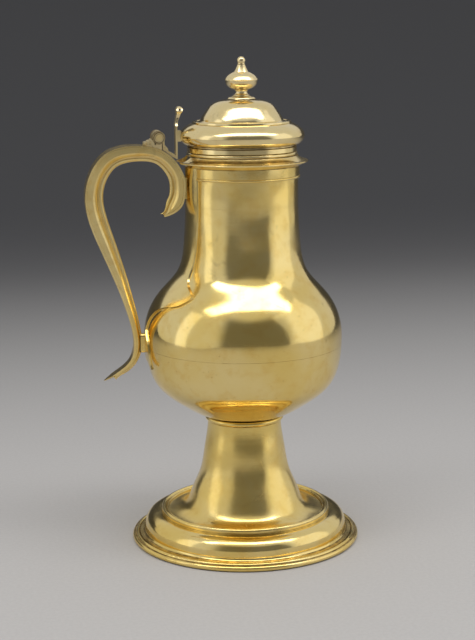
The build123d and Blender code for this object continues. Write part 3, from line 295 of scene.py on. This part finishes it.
# each node's metal, where it differs from the plain one
looks = {
    "foot_rim": {"rough": 0.20, "lines": 0.6, "grooves": mm(RIM_LINE)},
    "foot_plinth": {"rough": 0.12, "wave": 0.0016, "lines": 0.5, "grooves": mm(STEP_FOOT)},
    "foot_bead": {"rough": 0.20, "lines": 0.5, "grooves": mm(BEAD_FOOT, BEAD_LINE)},
    "foot_spool": {"rough": 0.15, "wave": 0.0026, "lines": 1.3, "grooves": mm(SPOOL_TOP)},
    "pedestal_collar": {"rough": 0.20, "grooves": mm(COLLAR_FOOT, COLLAR_TOP)},
    "bowl": {**BELLY, "grooves": mm(BOWL_FOOT, BOWL_SEAM)},
    "shoulder": {**BELLY, "grooves": mm(BOWL_SEAM)},
    "neck": {"rough": 0.13, "wave": 0.0026, "lines": 0.7, "pits": 0.7, "scratches": 0.8},
    "neck_wire": {"rough": 0.22},
    "neck_band": {"rough": 0.16, "lines": 0.5, "grooves": mm(BAND_TOP)},
    "drip_flange": {"pale": 0.2, "lines": 0.5, "grooves": mm(FLANGE_TOP)},
    "mouth_band": {"pale": 0.25, "lines": 0.4, "grooves": mm(MOUTH_LINE, MOUTH_FOOT, MOUTH_TOP)},
    "handle_backplate": {"rough": 0.15, "pits": 0.7, "stain": 0.6},
    "upper_handle_seat": PAD,
    "lower_handle_block": PAD,
    "handle_channel": {
        "rough": 0.30, "pale": 0.05, "stain": 0.25, "wave": 0.0016, "round_axis": False,
    },
    "handle_back_strip": {"rough": 0.20, "pale": 0.1, "lines": 0.5, "round_axis": False},
    "hinge_handle_leaf": {
        "rough": 0.36, "stain": 0.5, "pale": 0.5, "rings": mm(BARREL_LINE, BARREL_EDGE),
        "round_axis": False,
    },
    "hinge_pin": {
        "rough": 0.40, "stain": 0.5, "pale": 0.3, "rings": mm(PIN_EDGE), "round_axis": False,
    },
    "hinge_lid_strap": {"rough": 0.30, "stain": 0.6, "pale": 0.4, "round_axis": False},
    "thumbpiece": {"rough": 0.28, "stain": 0.6, "pale": 0.6, "round_axis": False},
    "lid_rim": {**LID, "pale": 0.28, "grooves": mm(LID_FOOT)},
    "lid_dome": {**LID, "pale": 0.38},
    "lid_bezel": {"rough": 0.26, "lines": 0.8, "stain": 0.7},
    "finial_base": {"rough": 0.20, "pale": 0.5, "grooves": mm(FINIAL_SEAT)},
    "finial": {"rough": 0.18, "pale": 0.5, "lines": 0.8, "grooves": mm(FINIAL_RING, BALL_FOOT)},
    "finial_washer": {"rough": 0.28, "stain": 0.9},
}
for name, look in looks.items():
    holder = nodes[name]
    surface = metal(name, **look)
    if not holder.data.materials:
        holder.data.materials.append(surface)
    for index in range(len(holder.data.materials)):
        holder.data.materials[index] = surface


# ---------------------------------------------------------------- stage
PAPER_WIDTH = 4.4              # metres
PAPER_FRONT = -4.0
PAPER_BACK = 2.4
PAPER_BEND = 1.3
PAPER_TURN = 78.0              # degrees that it curves up, which takes its edge above the view
PAPER_STEPS = 24
PAPER_NEAR = (0.53, 0.515, 0.505, 1.0)
PAPER_GRAIN = (0.56, 0.545, 0.535, 1.0)
PAPER_FAR_SHADE = (0.065, 0.065, 0.07, 1.0)
PAPER_SHADE_FROM = -0.1               # depth at which painted shade starts to darken the paper, and where it is full
PAPER_SHADE_TO = 1.5


def sweep(name):
    """A floor that curves up into a low backdrop behind the flagon."""
    floor_end = PAPER_BACK - PAPER_BEND
    profile = [(PAPER_FRONT, 0.0), (floor_end, 0.0)]
    for step in range(1, PAPER_STEPS + 1):
        turn = math.radians(PAPER_TURN * step / PAPER_STEPS)
        depth = floor_end + PAPER_BEND * math.sin(turn)
        profile.append((depth, PAPER_BEND - PAPER_BEND * math.cos(turn)))
    verts = []
    for side in (-PAPER_WIDTH / 2, PAPER_WIDTH / 2):
        verts += [(side, depth, rise) for depth, rise in profile]
    count = len(profile)
    faces = [(i, i + 1, count + i + 1, count + i) for i in range(count - 1)]
    mesh = bpy.data.meshes.new(name)
    mesh.from_pydata(verts, [], faces)
    for polygon in mesh.polygons:
        polygon.use_smooth = True
    made = bpy.data.objects.new(name, mesh)
    scene.collection.objects.link(made)
    return made


backdrop = sweep("studio_sweep")
paper = bpy.data.materials.new("studio_paper")
p = Graph(paper)
spot = p.node("ShaderNodeTexCoord").outputs["Object"]
grain = p.noise(spot, scale=400.0, detail=3.0, rough=0.6)
tone = p.mix(p.span(grain, 0.3, 0.7), PAPER_NEAR, PAPER_GRAIN)
# painted shade: the paper darkens towards the back
tone = p.mix(p.span(p.parts(spot)["Y"], PAPER_SHADE_FROM, PAPER_SHADE_TO), tone, PAPER_FAR_SHADE)
flat = p.node("ShaderNodeBsdfPrincipled")
p.put(flat.inputs["Base Color"], tone)
flat.inputs["Roughness"].default_value = 0.75
p.put(p.output.inputs["Surface"], flat.outputs[0])
backdrop.data.materials.append(paper)


# ---------------------------------------------------------------- light
def panel(name, place, target, width, height, power):
    """A soft rectangular lamp that faces a target, in metres and watts."""
    lamp = bpy.data.lights.new(name, "AREA")
    lamp.shape = "RECTANGLE"
    lamp.size = width
    lamp.size_y = height
    lamp.energy = power
    holder = bpy.data.objects.new(name, lamp)
    facing = (Vector(target) - Vector(place)).to_track_quat("-Z", "Y")
    holder.matrix_world = Matrix.Translation(place) @ facing.to_matrix().to_4x4()
    scene.collection.objects.link(holder)


LOW_TARGET = (0.0, 0.0, 0.20)  # points on the flagon's axis that the lamps face
HIGH_TARGET = (0.0, 0.0, 0.25)
panel("left_strip", (-1.50, -0.25, 0.60), LOW_TARGET, width=0.56, height=1.70, power=1.4)
panel("right_wall", (1.72, -0.62, 0.80), LOW_TARGET, width=2.00, height=2.30, power=5.0)
panel("top_panel", (0.02, -0.47, 1.62), HIGH_TARGET, width=2.50, height=0.46, power=12.5)

# the room is pale all round but for a dark side in front of the flagon, up to the ceiling
ROOM_PALE = 0.60
ROOM_DARK = 0.16
DARK_SHIFT = math.radians(5.8)     # how far its middle lies from -Y towards +X
DARK_EDGE = math.radians(127.0)    # angle from the side opposite to it where the dark begins
DARK_FULL = math.radians(143.0)    # and where it is full
CEILING_FULL = 0.80                # upward share of the direction where the ceiling is all pale
CEILING_EDGE = 0.62                # and where it begins

world = bpy.data.worlds.new("studio_air")
scene.world = world
air = Graph(world, "ShaderNodeOutputWorld")
way = air.parts(air.node("ShaderNodeTexCoord").outputs["Generated"])
turn = air.add(air.math("ARCTAN2", way["X"], way["Y"]), DARK_SHIFT)
front = air.span(air.math("ABSOLUTE", turn), DARK_EDGE, DARK_FULL)
under_ceiling = air.span(way["Z"], CEILING_FULL, CEILING_EDGE)
dark = air.times(front, under_ceiling)
sky = air.node("ShaderNodeBackground")
air.put(sky.inputs["Color"], air.add(ROOM_PALE, air.times(dark, ROOM_DARK - ROOM_PALE)))
air.put(air.output.inputs["Surface"], sky.outputs[0])

# ---------------------------------------------------------------- camera
CAMERA_PLACE = (-0.16089, -0.98987, 0.35166)
CAMERA_AHEAD = (0.15343, 0.96874, -0.19492)
CAMERA_YAW = math.radians(9.0)
CAMERA_ROLL = math.radians(-0.565)

camera_data = bpy.data.cameras.new("camera")
camera = bpy.data.objects.new("camera", camera_data)
scene.collection.objects.link(camera)
ahead = Vector(CAMERA_AHEAD).normalized()
level = Vector((math.cos(CAMERA_YAW), -math.sin(CAMERA_YAW), 0.0))
upright = level.cross(ahead)
right = math.cos(CAMERA_ROLL) * level + math.sin(CAMERA_ROLL) * upright
up = math.cos(CAMERA_ROLL) * upright - math.sin(CAMERA_ROLL) * level
camera.matrix_world = Matrix.Translation(CAMERA_PLACE) @ Matrix(
    (
        (right.x, up.x, -ahead.x, 0.0),
        (right.y, up.y, -ahead.y, 0.0),
        (right.z, up.z, -ahead.z, 0.0),
        (0.0, 0.0, 0.0, 1.0),
    )
)
camera_data.sensor_fit = "VERTICAL"
camera_data.sensor_height = 24.0
camera_data.lens = 56.14
camera_data.clip_start = 0.01
scene.camera = camera
scene.view_settings.view_transform = "Standard"
